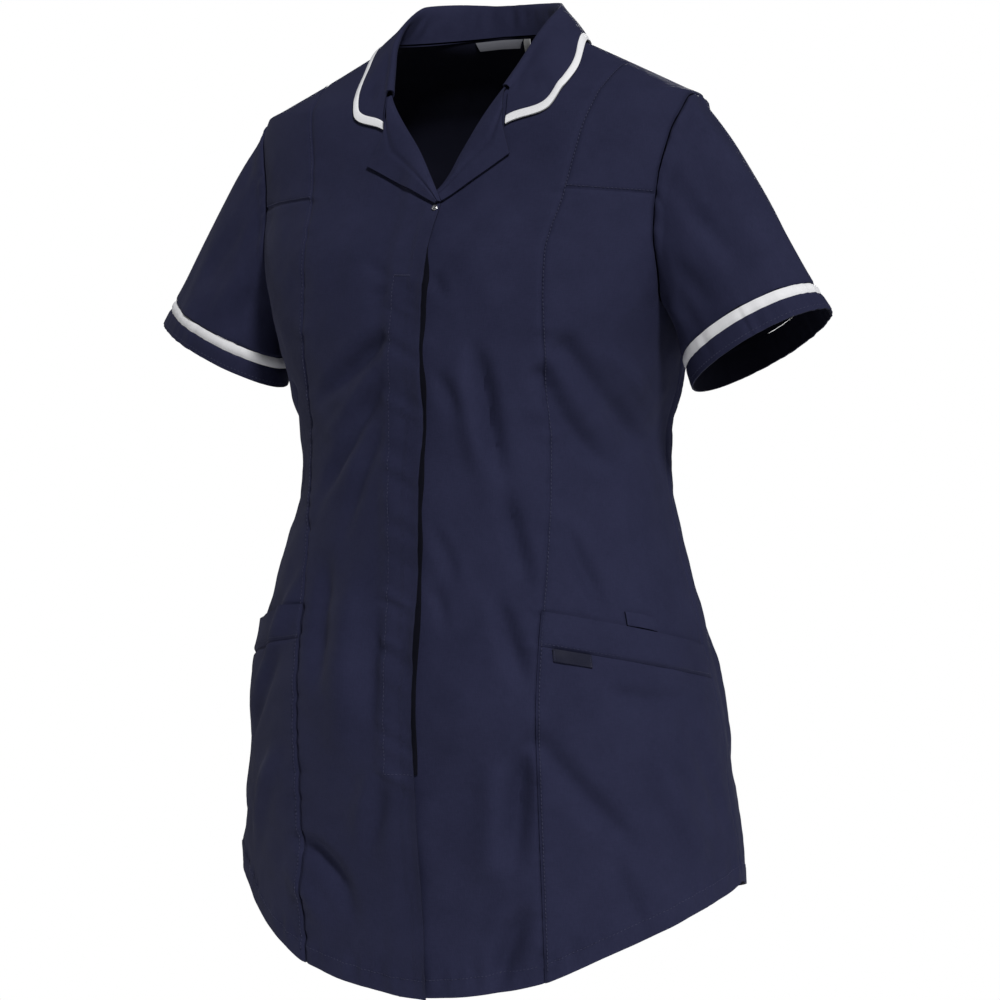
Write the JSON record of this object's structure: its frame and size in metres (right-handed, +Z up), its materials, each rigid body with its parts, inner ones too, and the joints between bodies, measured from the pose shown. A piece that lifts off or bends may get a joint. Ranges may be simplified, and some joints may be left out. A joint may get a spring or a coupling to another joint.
{
  "type": "maternity tunic",
  "caption": "Short-sleeved workwear tunic with a shaped maternity front, round piped collar, hidden snap placket and low patch pockets, filled out as worn.",
  "frame": {"origin": "at the base of the wearer's neck, midway between the neck ends of the two shoulder seams", "axes": "+Z up the wearer's body, -Y out of the garment's front, +X towards the wearer's left"},
  "size_m": [0.6117, 0.3012, 0.8246],
  "materials": {
    "navy_twill": "matte polyester-cotton twill, navy",
    "white_piping": "matte woven piping, white",
    "neck_label_tape": "woven label tape, grey, bare",
    "care_label_tape": "smooth label tape, white, bare",
    "pocket_label_tape": "woven label tape, near black, bare",
    "snap_metal": "satin nickel snap"
  },
  "bodies": {
    "root": {"back": "navy_twill", "care_label": "care_label_tape", "chest_yoke_left": "navy_twill", "chest_yoke_right": "navy_twill", "collar": "navy_twill", "collar_piping": "white_piping", "cuff_left": "navy_twill", "cuff_piping_left": "white_piping", "cuff_piping_right": "white_piping", "cuff_right": "navy_twill", "front_left": "navy_twill", "front_right": "navy_twill", "neck_label": "neck_label_tape", "placket": "navy_twill", "pocket_band_left": "navy_twill", "pocket_band_right": "navy_twill", "pocket_label": "pocket_label_tape", "pocket_left": "navy_twill", "pocket_loop": "navy_twill", "pocket_right": "navy_twill", "rever_left": "navy_twill", "rever_right": "navy_twill", "side_front_left": "navy_twill", "side_front_right": "navy_twill", "sleeve_left": "navy_twill", "sleeve_right": "navy_twill", "snap_stud": "snap_metal"}
  },
  "joints": []
}
